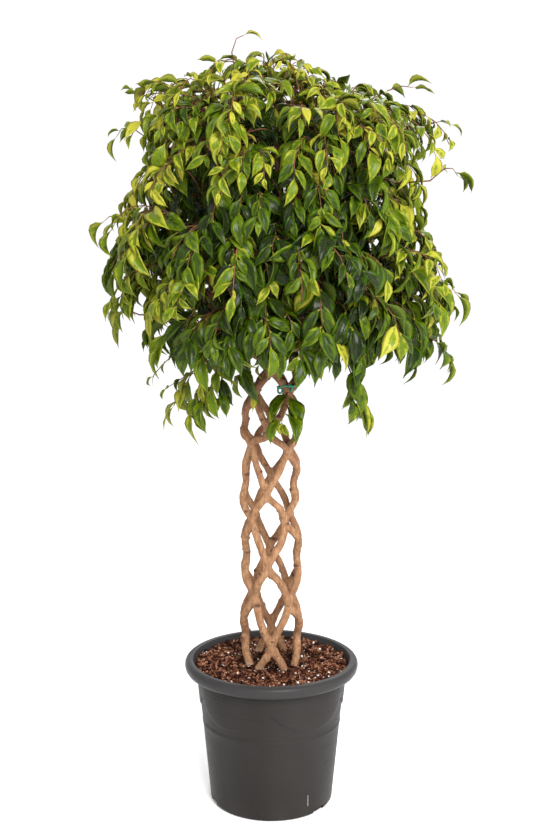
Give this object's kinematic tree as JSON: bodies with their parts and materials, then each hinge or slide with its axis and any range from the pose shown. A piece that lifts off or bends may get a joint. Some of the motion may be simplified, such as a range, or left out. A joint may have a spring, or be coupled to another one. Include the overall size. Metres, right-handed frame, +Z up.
{
  "type": "potted weeping fig",
  "caption": "Round-headed weeping fig on a lattice trunk of stems woven and grown together, planted in a round plastic nursery pot.",
  "frame": {"origin": "middle of the pot's flat foot, on the floor that the pot stands on", "axes": "+Z up along the trunk; the front, which the picture shows, looks along -Y, with +X to its right"},
  "size_m": [0.7504, 0.6837, 1.5147],
  "materials": {
    "pot_plastic": "matte",
    "soil": "matte",
    "bark": "matte",
    "tie_plastic": "satin",
    "leaf": "satin"
  },
  "bodies": {
    "root": {"pot": "pot_plastic", "soil": "soil", "woven_trunk": "bark", "plant_tie": "tie_plastic", "lower_clump_1": "leaf", "lower_clump_2": "leaf", "lower_clump_3": "leaf", "lower_clump_4": "leaf", "lower_clump_5": "leaf", "lower_clump_6": "leaf", "lower_clump_7": "leaf", "lower_clump_8": "leaf", "upper_clump_1": "leaf", "upper_clump_2": "leaf", "upper_clump_3": "leaf", "upper_clump_4": "leaf", "upper_clump_5": "leaf", "upper_clump_6": "leaf", "top_clump": "leaf"}
  },
  "joints": []
}
